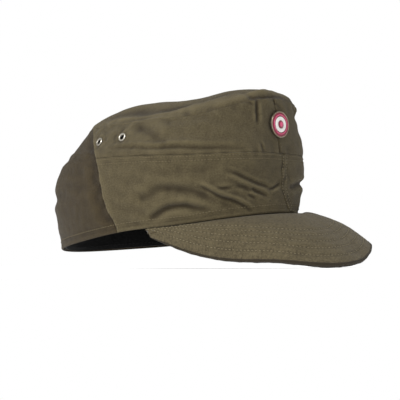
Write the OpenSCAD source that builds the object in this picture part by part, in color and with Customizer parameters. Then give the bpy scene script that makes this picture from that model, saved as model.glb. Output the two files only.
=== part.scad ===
// Soft field cap with a two-tier crown, a sewn visor, vent eyelets and a round cockade.
// Millimetres. The front of the cap faces -Y, the wearer's right is -X, and Z is up.
// The origin is the middle of the opening that the head goes into.
// Bearings run from 0 at the centre front round to 90 at the wearer's right and 180 at the back.

/* [Hem] */
// Half the length of the hem, front to back
hem_half_length = 106; // [98:0.5:112]
// Half the width of the hem
hem_half_width = 79.5; // [74:0.5:86]
// How far the hem's middle sits towards the back
hem_centre = 3; // [-2:0.5:6]
// Squareness of the hem's outline, where 2 is an ellipse
hem_squareness = 1.95; // [1.8:0.05:2.4]
// Heights of the hem at the back, back quarter, side, front quarter and front
hem_rise = [-4, 3, 11, 16.5, 25.5]; // [-10:0.5:32]

/* [Widest line of the band] */
// Half the length of the band at its widest
low_half_length = 105; // [98:0.5:112]
// Half the width of the band at its widest
low_half_width = 86.5; // [80:0.5:92]
// How far this line's middle sits towards the back
low_centre = 4; // [-2:0.5:6]
// Squareness of this line's outline
low_squareness = 2.15; // [1.9:0.05:2.5]
// Heights of this line from the back to the front
low_rise = [31, 33, 36, 41, 47]; // [28:0.5:50]

/* [Seam between the band and the crown] */
// Half the length of the cap at the seam
mid_half_length = 98; // [92:0.5:104]
// Half the width of the cap at the seam
mid_half_width = 86; // [80:0.5:92]
// How far the seam's middle sits towards the back
mid_centre = -1.5; // [-6:0.5:3]
// Squareness of the seam's outline
mid_squareness = 2.4; // [2:0.05:2.6]
// Heights of the seam from the back to the front
mid_rise = [66.5, 68.5, 70.5, 70.5, 73]; // [64:0.5:76]

/* [Middle of the crown side] */
// Half the length of the crown at half its height
high_half_length = 92.5; // [86:0.5:98]
// Half the width of the crown at half its height
high_half_width = 79; // [74:0.5:84]
// How far this line's middle sits towards the back
high_centre = -5.5; // [-9:0.5:0]
// Squareness of this line's outline
high_squareness = 2.25; // [2:0.05:2.5]
// Heights of this line from the back to the front
high_rise = [79, 81.5, 85, 89.5, 95]; // [77:0.5:97]

/* [Top seam and dome] */
// Half the length of the top seam
top_half_length = 87; // [80:0.5:92]
// Half the width of the top seam
top_half_width = 69; // [62:0.5:74]
// How far the top seam's middle sits towards the back
top_centre = -11; // [-14:0.5:-5]
// Squareness of the top seam's outline
top_squareness = 2.25; // [2:0.05:2.5]
// Heights of the top seam from the back to the front
top_rise = [94.5, 96.5, 99, 103, 116.5]; // [93:0.5:119]
// Height of the stuffed top above its seam
dome_height = 18.5; // [8:0.5:24]
// How square the dome's shoulder is
dome_shoulder = 4.2; // [2:0.1:5]

/* [Visor] */
// Bearing at which the visor's corners meet the hem
visor_bearing = 80; // [70:1:84]
// How far the visor reaches in front of the hem
visor_reach = 66; // [55:1:75]
// Half the width of the visor
visor_half_width = 77; // [74:1:82]
// Squareness of the visor's outline
visor_squareness = 2.3; // [2:0.05:2.6]
// Where the visor is widest, front to back
visor_widest = -11; // [-20:1:-8]
// Height of the visor's edge at its corner, three-quarter, half, quarter and centre
visor_edge_rise = [10, -4, -5, -10, -13.5]; // [-20:0.5:14]
// How far the visor bows up between the hem and its edge
visor_crown = 8.5; // [0:0.5:12]
// Sideways lean of the visor, down on the wearer's right
visor_lean = 12; // [0:0.5:16]
// Sideways turn of the visor, towards the wearer's left
visor_turn = 1.5; // [0:0.5:4]

/* [Layers] */
// Thickness of the outer cloth
cloth = 1; // [0.8:0.1:1.1]
// Thickness of the interlining behind the front
interlining = 0.5; // [0.4:0.1:0.6]
// Thickness of the lining
lining = 0.5; // [0.4:0.1:0.6]
// Thickness of the sweatband
sweatband_thickness = 1.2; // [1:0.1:1.6]
// Height of the sweatband, as a share of the height up to the band's widest line
sweatband_share = 0.95; // [0.8:0.05:1]
// Thickness of the visor's stiff board
visor_board_thickness = 1.8; // [1.4:0.1:2]
// Width of the binding round the visor's edge
binding_width = 1.6; // [1.2:0.1:2.4]
// Width of the stitched strip down the centre front of the band
seam_strip_width = 7; // [6:0.5:12]
// Bearings of the crown's front seam at the band and at the top, to the wearer's right
front_seam_bearings = [2, 7]; // [0:0.5:8]

/* [Vents and cockade] */
// Bearings of the two vent eyelets on each side
vent_bearings = [95, 110]; // [90:1:111]
// Heights of the vents on the crown side, in levels above the hem
vent_levels = [3.15, 3.1]; // [2.8:0.05:3.4]
// Outer diameter of an eyelet's flange
eyelet_flange_d = 7.2; // [6.4:0.1:8]
// Diameter of an eyelet's hole
eyelet_hole_d = 3.8; // [3.2:0.1:4.2]
// Diameter of the cockade
cockade_d = 21; // [16:0.5:24]
// Level of the cockade's centre above the hem, where 3 is the middle of the crown side
cockade_level = 3.04; // [2.9:0.02:3.1]
// Bearing of the cockade's centre, just to the wearer's right of the front seam
cockade_bearing = 3.8; // [3.6:0.1:5]
// How far the cockade is turned towards the wearer's right
cockade_turn = 6; // [0:0.5:10]

/* [Hidden] */

olive = [0.37, 0.34, 0.27];
dark_olive = [0.31, 0.29, 0.22];
black_cloth = [0.05, 0.05, 0.05];
seam_gap = 0.3;         // air between neighbouring pieces
top_level = 4;          // the number of the top seam's level
mid_level = 2;          // the number of the band seam's level
back_seam_low = 93;     // bearing of the side and back seam at the hem
back_seam_spread = 38;  // how far that seam leans back by the top
seam_angle = 0.25;      // half the bearing taken up by the gap at an upright seam
level_gap = 0.012;      // half the gap at a level seam, in levels
hem_gap = 0.005;        // how far the outer cloth starts above the hem line, in levels
lining_gap = 0.06;      // how far the linings stop short of the hem and the top seam, in levels
sweatband_gap = 0.03;   // how far the sweatband stops short of the hem, in levels
top_rim = 0.985;        // how far out the top panel reaches, as a share of the way to its seam
top_lining_rim = 0.965; // how far out its lining reaches
interlining_bearing = 52;
interlining_top = 3.9;  // level at which the interlining ends
strip_levels = [0.04, 1.95];    // where the front strip starts and ends
strip_faces = [0.7, 0.15];      // how far the front strip's two faces stand off the band
visor_end = 0.975;      // the share of the visor's bearing that its layers fill
visor_start = 0.01;     // where the visor's layers start, as a share of the way out from the hem
visor_gap = 0.15;       // air between the visor's layers
row_count = 24;         // columns of facets on a long panel
hole_fn = 32;
vent_clearance = 1.4;   // how much wider the holes in the cloth are than the eyelets' holes
flange_rise = 0.1;      // air between an eyelet's flange and the cloth

// ---- Points and curves ----
function signed_power(value, power) = sign(value) * pow(abs(value), power);
function unit(v) = v / norm(v);
function mix(a, b, share) = a + (b - a) * share;
function span(a, b, count) = [for (i = [0 : count]) mix(a, b, i / count)];

// Smooth curve through a list of values; place is 0 at the first and 1 more at each next one
function smooth_at(values, place) =
    let (last = len(values) - 1,
         first = min(last - 1, max(0, floor(place))),
         t = place - first,
         b = values[first],
         c = values[first + 1],
         a = first > 0 ? values[first - 1] : 2 * b - c,
         d = first < last - 1 ? values[first + 2] : 2 * c - b)
    0.5 * (2 * b + (c - a) * t + (2 * a - 5 * b + 4 * c - d) * t * t
        + (3 * b - a - 3 * c + d) * t * t * t);

// One point of a level line: a squared ellipse whose height follows its rise
function level_point(length, width, centre, squareness, rise, bearing) =
    [-width * signed_power(sin(bearing), 2 / squareness),
     centre - length * signed_power(cos(bearing), 2 / squareness),
     smooth_at(rise, 2 + 2 * cos(bearing))];

function levels_at(bearing) = [
    level_point(hem_half_length, hem_half_width, hem_centre, hem_squareness, hem_rise, bearing),
    level_point(low_half_length, low_half_width, low_centre, low_squareness, low_rise, bearing),
    level_point(mid_half_length, mid_half_width, mid_centre, mid_squareness, mid_rise, bearing),
    level_point(high_half_length, high_half_width, high_centre, high_squareness, high_rise, bearing),
    level_point(top_half_length, top_half_width, top_centre, top_squareness, top_rise, bearing)];

// The cap's side, by bearing and level, moved out along its own normal by depth
function side_skin(bearing, level) = smooth_at(levels_at(bearing), level);
function side_normal(bearing, level) =
    let (around = side_skin(bearing + 0.6, level) - side_skin(bearing - 0.6, level),
         up = side_skin(bearing, level + 0.02) - side_skin(bearing, level - 0.02))
    unit(cross(up, around));
function side_point(bearing, level, depth) =
    side_skin(bearing, level) + depth * side_normal(bearing, level);

// The stuffed top, by bearing and share of the way out to the top seam
dome_middle = [0, top_centre, top_rise[2] + 0.5];
dome_flat = 0.25;       // share of the dome over which its middle levels out
function dome_skin(bearing, share) =
    let (seam = side_skin(bearing, top_level),
         level_share = share * share * (1 + dome_flat) / (share + dome_flat),
         rise = (seam.z - dome_middle.z) * level_share + dome_height * (1 - pow(share, dome_shoulder)))
    [mix(dome_middle.x, seam.x, share), mix(dome_middle.y, seam.y, share), dome_middle.z + rise];
function dome_normal(bearing, share) =
    unit(cross(dome_skin(bearing, share - 0.01) - dome_skin(bearing, share + 0.01),
        dome_skin(bearing + 0.6, share) - dome_skin(bearing - 0.6, share)));
function dome_point(bearing, share, depth) =
    dome_skin(bearing, share) + depth * dome_normal(bearing, share);

// The visor: along runs from -1 at the left corner to 1 at the right one, out from 0 to 1
visor_front = hem_centre - hem_half_length - visor_reach;
visor_pivot = [0, -60, 0];
function visor_edge(along) =
    let (a = 90 * along,
         x = -visor_half_width * signed_power(sin(a), 2 / visor_squareness),
         y = mix(visor_widest, visor_front, signed_power(cos(a), 2 / visor_squareness)),
         turned = visor_pivot + [x * cos(visor_turn) - (y - visor_pivot.y) * sin(visor_turn),
             x * sin(visor_turn) + (y - visor_pivot.y) * cos(visor_turn), 0],
         height = smooth_at(visor_edge_rise, 4 - 4 * abs(along)))
    [turned.x, turned.y, height + tan(visor_lean) * turned.x * cos(a)];
function visor_skin(along, out) =
    mix(side_skin(along * visor_bearing, 0), visor_edge(along), out)
    + [0, 0, visor_crown * (1 - pow(abs(along), 6)) * 4 * out * (1 - out)];
function visor_normal(along, out) =
    unit(cross(visor_skin(along + 0.01, out) - visor_skin(along - 0.01, out),
        visor_skin(along, out + 0.01) - visor_skin(along, out - 0.01)));
function visor_point(along, out, depth) =
    visor_skin(along, out) + depth * visor_normal(along, out);

// Bearing, near the front, of a point x to the wearer's left of the centre
function bearing_at(x, level) =
    let (width = smooth_at([hem_half_width, low_half_width, mid_half_width], level),
         squareness = smooth_at([hem_squareness, low_squareness, mid_squareness], level))
    -sign(x) * asin(pow(abs(x) / width, squareness / 2));

// Bearings of the leaning seams: between the side and the back panel, and down the crown's front
function back_seam(level) = back_seam_low + back_seam_spread * pow(level / top_level, 2);
function front_seam(level) = mix(front_seam_bearings[0], front_seam_bearings[1],
    (level - mid_level) / (top_level - mid_level));

// A panel's edges are functions that give a bearing for each level
function upright(bearing) = function (level) bearing;
function panel_edges(side, front) = side > 0
    ? [function (level) front(level) + seam_angle, function (level) back_seam(level) - seam_angle]
    : [function (level) seam_angle - back_seam(level), function (level) front(level) - seam_angle];

// ---- Solids from rows of points ----
function flatten(rows) = [for (row = rows) each row];
function grid_faces(rows, columns, start, turned) = [
    for (i = [0 : rows - 2]) for (j = [0 : columns - 2])
        let (a = start + i * columns + j, b = a + 1, c = b + columns, d = a + columns)
        each (turned ? [[a, c, b], [a, d, c]] : [[a, b, c], [a, c, d]])];
function edge_loop(rows, columns) = concat(
    [for (j = [0 : columns - 2]) j],
    [for (i = [0 : rows - 2]) i * columns + columns - 1],
    [for (j = [columns - 1 : -1 : 1]) (rows - 1) * columns + j],
    [for (i = [rows - 1 : -1 : 1]) i * columns]);

// A curved sheet with thickness, from its outer and its inner grid of points
module sheet(outer, inner) {
    rows = len(outer);
    columns = len(outer[0]);
    size = rows * columns;
    loop = edge_loop(rows, columns);
    rim = [for (i = [0 : len(loop) - 1])
        let (a = loop[i], b = loop[(i + 1) % len(loop)])
        each [[b, a, a + size], [b, a + size, b + size]]];
    polyhedron(concat(flatten(outer), flatten(inner)),
        concat(grid_faces(rows, columns, 0, false), grid_faces(rows, columns, size, true), rim),
        convexity = 6);
}

// A piece of the cap's side between two levels and two edges
function side_rows(low, high, rows, columns, depth, from, to) = [
    for (level = span(low, high, rows))
        [for (bearing = span(from(level), to(level), columns))
            side_point(bearing, level, depth)]];
module side_sheet(low, high, rows, from, to, outer, inner, columns = row_count) {
    sheet(side_rows(low, high, rows, columns, outer, from, to),
        side_rows(low, high, rows, columns, inner, from, to));
}

// A closed dome with thickness
module dome_sheet(rim_share, outer, inner, rings, columns) {
    shares = span(rim_share, 0, rings);
    size = rings * columns;
    points = function (depth) [for (i = [0 : rings - 1])
        for (j = [0 : columns - 1]) dome_point(360 * j / columns, shares[i], depth)];
    walls = function (start, turned) [for (i = [0 : rings - 2]) for (j = [0 : columns - 1])
        let (a = start + i * columns + j, b = start + i * columns + (j + 1) % columns,
             c = b + columns, d = a + columns)
        each (turned ? [[a, c, b], [a, d, c]] : [[a, b, c], [a, c, d]])];
    tips = function (start, tip, turned) [for (j = [0 : columns - 1])
        let (a = start + (rings - 1) * columns + j,
             b = start + (rings - 1) * columns + (j + 1) % columns)
        turned ? [b, a, tip] : [a, b, tip]];
    rim = [for (j = [0 : columns - 1]) let (b = (j + 1) % columns)
        each [[b, j, j + size], [b, j + size, b + size]]];
    middle = dome_skin(0, 0);
    polyhedron(
        concat(points(outer), points(inner), [middle + [0, 0, outer], middle + [0, 0, inner]]),
        concat(walls(0, false), walls(size, true), tips(0, 2 * size, false),
            tips(size, 2 * size + 1, true), rim), convexity = 6);
}

// A layer of the visor between two depths below its top face
function visor_rows(depth, inset, rows) = [for (out = span(1 - inset, visor_start, rows))
    [for (along = span(-visor_end, visor_end, 2 * row_count)) visor_point(along, out, depth)]];
module visor_sheet(outer, inner, inset = 0) {
    sheet(visor_rows(outer, inset, 8), visor_rows(inner, inset, 8));
}

// Puts its children on the cap's side with their +Z pointing out
module on_side(bearing, level, depth = 0, turn = 0) {
    n = side_normal(bearing, level);
    translate(side_point(bearing, level, depth))
        rotate([0, acos(n.z), atan2(n.y, n.x) - turn])
            children();
}
module at_vents(depth = 0) {
    for (side = [-1, 1])
        for (i = [0 : len(vent_bearings) - 1])
            on_side(side * vent_bearings[i], vent_levels[i], depth)
                children();
}
module vent_holes(side) {
    for (i = [0 : len(vent_bearings) - 1])
        on_side(side * vent_bearings[i], vent_levels[i])
            cylinder(d = eyelet_hole_d + vent_clearance, h = 14, center = true, $fn = hole_fn);
}

// ---- The outer cloth ----
module crown_side(side) {
    edges = panel_edges(side, function (level) front_seam(level));
    difference() {
        side_sheet(mid_level + level_gap, top_level - level_gap, 10, edges[0], edges[1],
            0, -cloth);
        vent_holes(side);
        prong_holes();
    }
}
module band(side) {
    edges = panel_edges(side, upright(0));
    side_sheet(hem_gap, mid_level - level_gap, 10, edges[0], edges[1], 0, -cloth);
}
module top_panel() {
    color(olive) dome_sheet(top_rim, 0, -cloth, 9, 56);
}
module crown_side_right() {
    color(olive) crown_side(1);
}
module crown_side_left() {
    color(olive) crown_side(-1);
}
module back_panel() {
    color(dark_olive)
        side_sheet(hem_gap, top_level - level_gap, 18,
            function (level) back_seam(level) + seam_angle,
            function (level) 360 - back_seam(level) - seam_angle, 0, -cloth);
}
module band_right() {
    color(olive) band(1);
}
module band_left() {
    color(olive) band(-1);
}
// The strip that covers the centre front seam of the band
module front_seam_strip() {
    half = seam_strip_width / 2;
    rows = function (depth) [for (level = span(strip_levels[0], strip_levels[1], 12))
        [for (x = span(half, -half, 6)) side_point(bearing_at(x, level), level, depth)]];
    color(olive) sheet(rows(strip_faces[0]), rows(strip_faces[1]));
}

// ---- Inside layers, from the cloth inwards ----
interlining_face = -cloth - seam_gap;
lining_face = interlining_face - interlining - seam_gap;
sweatband_face = lining_face - lining - seam_gap;
module front_interlining() {
    color("gainsboro")
        difference() {
            side_sheet(lining_gap, interlining_top, 12, upright(-interlining_bearing),
                upright(interlining_bearing), interlining_face, interlining_face - interlining);
            prong_holes();
        }
}
module side_lining(side) {
    difference() {
        side_sheet(lining_gap, top_level - lining_gap, 14,
            upright(side > 0 ? seam_angle : -180 + seam_angle),
            upright(side > 0 ? 180 - seam_angle : -seam_angle), lining_face, lining_face - lining);
        vent_holes(side);
        prong_holes();
    }
}
module top_lining() {
    color(black_cloth) dome_sheet(top_lining_rim, lining_face, lining_face - lining, 8, 40);
}
module side_lining_right() {
    color(black_cloth) side_lining(1);
}
module side_lining_left() {
    color(black_cloth) side_lining(-1);
}
// The sweatband runs right round inside the hem and is joined at the back
module sweatband() {
    color(black_cloth)
        side_sheet(sweatband_gap, sweatband_share, 4, upright(-180 + seam_angle),
            upright(180 - seam_angle), sweatband_face, sweatband_face - sweatband_thickness,
            columns = 2 * row_count);
}

// ---- Visor ----
board_face = -cloth - visor_gap;
under_face = board_face - visor_board_thickness - visor_gap;
module visor_top_cover() {
    color(olive) visor_sheet(0, -cloth);
}
module visor_board() {
    color("dimgray") visor_sheet(board_face, board_face - visor_board_thickness, visor_start);
}
module visor_under_cover() {
    color(dark_olive) visor_sheet(under_face, under_face - cloth);
}
// The binding is a rounded bar that closes the layers' edges
module visor_binding() {
    middle = (under_face - cloth) / 2;
    half_height = -middle + 0.3;
    ring = [for (i = [0 : 7]) let (a = 22.5 + 45 * i) [cos(a), sin(a)] / cos(22.5)];
    turns = 2 * row_count;
    points = [for (along = span(-visor_end, visor_end, turns))
        let (n = visor_normal(along, 0.99),
             out = unit(cross(n, visor_edge(along + 0.01) - visor_edge(along - 0.01))),
             centre = visor_skin(along, 1) + middle * n - out * (binding_width / 2 + visor_gap))
        for (p = ring) centre + out * p.x * binding_width / 2 + n * p.y * half_height];
    color(dark_olive)
        polyhedron(points, concat(
            [for (i = [0 : turns - 1]) for (j = [0 : 7])
                let (a = 8 * i + j, b = 8 * i + (j + 1) % 8)
                each [[a, a + 8, b + 8], [a, b + 8, b]]],
            [[for (j = [0 : 7]) j], [for (j = [7 : -1 : 0]) 8 * turns + j]]), convexity = 6);
}

// ---- Vents ----
barrel_d = eyelet_hole_d + 0.8;
barrel_depth = -lining_face + lining + 0.6;
module vent_eyelets() {
    color("silver")
        at_vents(flange_rise)
            rotate_extrude($fn = hole_fn)
                polygon([[eyelet_hole_d / 2, -barrel_depth], [barrel_d / 2, -barrel_depth],
                    [barrel_d / 2, 0], [eyelet_flange_d / 2, 0], [eyelet_flange_d / 2, 0.3],
                    [eyelet_flange_d / 2 - 0.5, 0.7], [eyelet_hole_d / 2 + 0.4, 0.7],
                    [eyelet_hole_d / 2, 0.3]]);
}
module eyelet_washers() {
    color("silver")
        at_vents(lining_face - lining - 0.5)
            rotate_extrude($fn = hole_fn)
                polygon([[barrel_d / 2 + 0.1, 0], [eyelet_flange_d / 2, 0],
                    [eyelet_flange_d / 2, 0.3], [barrel_d / 2 + 0.1, 0.3]]);
}

// ---- Cockade, built up from the cloth outwards ----
cockade_stand = 1.6;    // clearance that lets the flat disc sit on the curved front
red_d = cockade_d - 1.6;
white_d = cockade_d * 0.6;
centre_d = cockade_d * 0.3;
prong_spacing = 9;
prong_d = 1.2;
prong_length = 6.4;
module at_cockade(depth = cockade_stand) {
    on_side(cockade_bearing, cockade_level, depth, cockade_turn)
        rotate([0, 0, 90])
            children();
}
module disc_ring(outer_d, inner_d, base, top) {
    rotate_extrude($fn = 64)
        polygon([[inner_d / 2, base], [outer_d / 2, base], [outer_d / 2, top - 0.3],
            [outer_d / 2 - 0.3, top], [inner_d / 2 + 0.2, top], [inner_d / 2, top - 0.2]]);
}
module prong_holes() {
    at_cockade()
        for (x = [-1, 1])
            translate([x * prong_spacing / 2, 0, 0])
                cylinder(d = prong_d + 0.6, h = 20, center = true, $fn = 16);
}
module cockade_base() {
    color("silver") at_cockade() {
        cylinder(d = cockade_d - 1.2, h = 0.6, $fn = 64);
        disc_ring(cockade_d, cockade_d - 1.2, 0, 1.6);
    }
}
module cockade_red_ring() {
    color([0.62, 0.12, 0.2]) at_cockade() disc_ring(red_d - 0.2, white_d + 0.2, 0.7, 1.9);
}
module cockade_white_ring() {
    color("white") at_cockade() disc_ring(white_d, centre_d + 0.2, 0.7, 2.3);
}
module cockade_centre() {
    color([0.66, 0.12, 0.2])
        at_cockade()
            rotate_extrude($fn = 48)
                polygon([[0, 0.7], [centre_d / 2, 0.7], [centre_d / 2, 2.2],
                    [centre_d / 2 - 0.5, 2.7], [centre_d / 5, 3], [0, 3]]);
}
// Two prongs behind the cockade pass through the crown
module cockade_prongs() {
    color("silver")
        at_cockade()
            for (x = [-1, 1])
                translate([x * prong_spacing / 2, 0, -prong_length - 0.1])
                    cylinder(d = prong_d, h = prong_length, $fn = 16);
}
module cockade_washer() {
    color("silver")
        at_cockade()
            translate([0, 0, -prong_length + 0.3])
                difference() {
                    cylinder(d = 16, h = 0.5, $fn = 48);
                    for (x = [-1, 1])
                        translate([x * prong_spacing / 2, 0, -1])
                            cylinder(d = prong_d + 0.2, h = 3, $fn = 16);
                }
}

top_panel();
crown_side_right();
crown_side_left();
back_panel();
band_right();
band_left();
front_seam_strip();
front_interlining();
top_lining();
side_lining_right();
side_lining_left();
sweatband();
visor_top_cover();
visor_board();
visor_under_cover();
visor_binding();
vent_eyelets();
eyelet_washers();
cockade_base();
cockade_red_ring();
cockade_white_ring();
cockade_centre();
cockade_prongs();
cockade_washer();
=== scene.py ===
import math

import bpy
import numpy as np
from mathutils import Matrix, Vector


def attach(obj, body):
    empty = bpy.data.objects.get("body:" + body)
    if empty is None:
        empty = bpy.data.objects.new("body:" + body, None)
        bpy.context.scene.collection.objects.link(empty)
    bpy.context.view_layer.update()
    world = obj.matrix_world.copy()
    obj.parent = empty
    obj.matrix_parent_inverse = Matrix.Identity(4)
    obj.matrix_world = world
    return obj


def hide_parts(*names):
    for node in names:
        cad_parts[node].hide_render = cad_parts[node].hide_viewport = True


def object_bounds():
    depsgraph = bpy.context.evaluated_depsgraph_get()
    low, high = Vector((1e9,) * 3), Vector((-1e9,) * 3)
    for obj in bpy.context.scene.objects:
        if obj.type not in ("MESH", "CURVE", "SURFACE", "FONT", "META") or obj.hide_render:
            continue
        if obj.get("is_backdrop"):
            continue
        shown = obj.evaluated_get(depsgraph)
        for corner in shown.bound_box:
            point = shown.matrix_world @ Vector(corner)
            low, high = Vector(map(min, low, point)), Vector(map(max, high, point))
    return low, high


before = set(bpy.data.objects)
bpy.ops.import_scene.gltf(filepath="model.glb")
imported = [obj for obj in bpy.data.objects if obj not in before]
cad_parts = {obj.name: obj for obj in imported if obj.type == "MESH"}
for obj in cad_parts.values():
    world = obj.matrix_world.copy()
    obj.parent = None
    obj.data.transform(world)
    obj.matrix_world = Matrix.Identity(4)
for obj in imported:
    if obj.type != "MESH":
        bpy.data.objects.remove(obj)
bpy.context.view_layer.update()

MM = 0.001

# ---- The cap's shape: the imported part's, with a lower hem and softer edges ----
HALF_LENGTH = [106, 105, 98, 92.5, 87]
HALF_WIDTH = [79.5, 86.5, 86, 79, 69]
CENTRE = [3, 4, -1.5, -5.5, -11]
SQUARENESS = [1.95, 2.15, 2.4, 2.25, 2.25]
RISE = [[-4, 3, 11, 16.5, 25.5], [31, 33, 36, 41, 47], [66.5, 68.5, 70.5, 70.5, 73],
        [79, 81.5, 85, 89.5, 95], [94.5, 96.5, 99, 103, 116.5]]
MID_LEVEL, TOP_LEVEL = 2, 4
DOME_MIDDLE = np.array([0, -11, 99.5])
DOME_HEIGHT, DOME_SHOULDER, DOME_FLAT = 18.5, 4.2, 0.25
VISOR_BEARING, VISOR_END = 80, 0.975
VISOR_HALF_WIDTH, VISOR_SQUARENESS, VISOR_WIDEST = 77, 2.3, -11
VISOR_FRONT, VISOR_PIVOT = -169, -60
VISOR_RISE = [10, -4, -5, -10, -13.5]
VISOR_CROWN, VISOR_LEAN, VISOR_TURN = 8.5, 12, 1.5
BACK_SEAM_LOW, BACK_SEAM_SPREAD = 93, 38
FRONT_SEAM = (2, 7)
CLOTH, VENTS, VENT_TILT = 1.0, [(95, 3.15), (110, 3.1)], 16
COCKADE_D, COCKADE_STAND, COCKADE_TURN = 21, 1.6, 6
COCKADE_BEARING, COCKADE_LEVEL = 3.8, 3.04
LINING_DEPTH, SWEATBAND_DEPTH, SWEATBAND = -2.1, -2.9, 1.2
STRIP_HALF_WIDTH, STRIP_SEWN = 3.5, 2.5
TOPSTITCH_OFFSETS = (-1.6, -4.6)
# The soft hem hangs lower on the wearer's left: how much, at which bearing, how far round
HEM_DROP, HEM_DROP_BEARING, HEM_DROP_WIDTH = 3.4, -95, 38


def signed_power(value, power):
    return np.sign(value) * np.abs(value) ** power


def unit(v):
    return v / np.maximum(np.linalg.norm(v, axis=-1, keepdims=True), 1e-9)


def mix(a, b, share):
    return a + (b - a) * share


def step(low, high, value):
    t = np.clip((value - low) / (high - low), 0, 1)
    return t * t * (3 - 2 * t)


def bell(distance, width):
    return np.exp(-(distance / width) ** 2)


def wrapped(angle):
    """An angle in degrees, brought between -180 and 180."""
    return (angle + 180) % 360 - 180


def smooth_at(values, place):
    """A smooth curve through values; place is 0 at the first and 1 more at each next one."""
    values = np.asarray(values, float)
    last = len(values) - 1
    place = np.clip(place, 0, last)
    first = np.minimum(place.astype(int), last - 1)
    t = place - first
    ends = np.concatenate([[2 * values[0] - values[1]], values, [2 * values[-1] - values[-2]]])
    if values.ndim == 1:
        a, b, c, d = (ends[first + k] for k in range(4))
    else:
        each = np.arange(values.shape[1])
        a, b, c, d = (ends[first + k, each] for k in range(4))
        t = t[:, None]
    return 0.5 * (2 * b + (c - a) * t + (2 * a - 5 * b + 4 * c - d) * t * t
                  + (3 * b - a - 3 * c + d) * t ** 3)


def side_skin(bearing, level):
    """Points of the cap's side."""
    bearing, level = np.broadcast_arrays(np.asarray(bearing, float), np.asarray(level, float))
    shape = bearing.shape
    turn = np.radians(bearing.ravel())
    s, c = np.sin(turn), np.cos(turn)
    lines = [np.stack([-width * signed_power(s, 2 / q), centre - length * signed_power(c, 2 / q),
                       smooth_at(rise, 2 + 2 * c)], -1)
             for length, width, centre, q, rise
             in zip(HALF_LENGTH, HALF_WIDTH, CENTRE, SQUARENESS, RISE)]
    points = smooth_at(lines, level.ravel())
    apart = wrapped(bearing.ravel() - HEM_DROP_BEARING)
    points[:, 2] -= HEM_DROP * bell(apart, HEM_DROP_WIDTH) * np.clip(1 - level.ravel(), 0, 1) ** 2
    return points.reshape(*shape, 3)


def side_normal(bearing, level):
    around = side_skin(bearing + 0.6, level) - side_skin(bearing - 0.6, level)
    up = side_skin(bearing, level + 0.02) - side_skin(bearing, level - 0.02)
    return unit(np.cross(up, around))


def dome_skin(bearing, share):
    """Points of the stuffed top, by bearing and share of the way out to the top seam."""
    seam = side_skin(bearing, TOP_LEVEL)
    share = share * np.ones(seam.shape[:-1])
    lift = share * share * (1 + DOME_FLAT) / (share + DOME_FLAT)
    rise = (seam[..., 2] - DOME_MIDDLE[2]) * lift + DOME_HEIGHT * (1 - share ** DOME_SHOULDER)
    flat = mix(DOME_MIDDLE[:2], seam[..., :2], share[..., None])
    return np.concatenate([flat, (DOME_MIDDLE[2] + rise)[..., None]], -1)


def dome_normal(bearing, share):
    inward = dome_skin(bearing, share - 0.01) - dome_skin(bearing, share + 0.01)
    around = dome_skin(bearing + 0.6, share) - dome_skin(bearing - 0.6, share)
    return unit(np.cross(inward, around))


def visor_edge(along):
    turn = np.radians(90 * along)
    s, c = np.sin(turn), np.cos(turn)
    x = -VISOR_HALF_WIDTH * signed_power(s, 2 / VISOR_SQUARENESS)
    y = mix(VISOR_WIDEST, VISOR_FRONT, signed_power(c, 2 / VISOR_SQUARENESS)) - VISOR_PIVOT
    swing = math.radians(VISOR_TURN)
    turned_x = x * math.cos(swing) - y * math.sin(swing)
    turned_y = VISOR_PIVOT + x * math.sin(swing) + y * math.cos(swing)
    height = smooth_at(VISOR_RISE, 4 - 4 * np.abs(along))
    return np.stack([turned_x, turned_y,
                     height + math.tan(math.radians(VISOR_LEAN)) * turned_x * c], -1)


def visor_skin(along, out):
    """Points of the visor: along from -1 to 1 across it, out from 0 at the hem to 1 at its edge."""
    along, out = np.broadcast_arrays(np.asarray(along, float), np.asarray(out, float))
    ruled = mix(side_skin(along * VISOR_BEARING, 0), visor_edge(along.ravel()).reshape(
        *along.shape, 3), out[..., None])
    ruled[..., 2] += VISOR_CROWN * (1 - np.abs(along) ** 6) * 4 * out * (1 - out)
    return ruled


def visor_normal(along, out):
    across = visor_skin(along + 0.01, out) - visor_skin(along - 0.01, out)
    ahead = visor_skin(along, out + 0.01) - visor_skin(along, out - 0.01)
    return unit(np.cross(across, ahead))


def back_seam(level):
    return BACK_SEAM_LOW + BACK_SEAM_SPREAD * (level / TOP_LEVEL) ** 2


def front_seam(level):
    """Bearing of the crown's front seam, which leans to the wearer's right."""
    share = (np.clip(level, MID_LEVEL, TOP_LEVEL) - MID_LEVEL) / (TOP_LEVEL - MID_LEVEL)
    return mix(FRONT_SEAM[0], FRONT_SEAM[1], share)


def bearing_at(x, level):
    """Bearing, near the front, of a point x to the wearer's left of the centre."""
    width = smooth_at(HALF_WIDTH[:3], np.clip(level, 0, 2))
    q = smooth_at(SQUARENESS[:3], np.clip(level, 0, 2))
    return -np.sign(x) * np.degrees(np.arcsin((np.abs(x) / width) ** (q / 2)))


# ---- How the cloth of the side folds ----
def waves(points, count, shortest, longest, seed):
    """Random smooth swells of those wavelengths, about 1 high."""
    r = np.random.default_rng(seed)
    total = np.zeros(points.shape[:-1])
    for _ in range(count):
        way = unit(r.normal(size=3)) * 2 * math.pi / r.uniform(shortest, longest)
        total += np.sin(points @ way + r.uniform(0, 2 * math.pi))
    return total / math.sqrt(count / 2)


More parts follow.
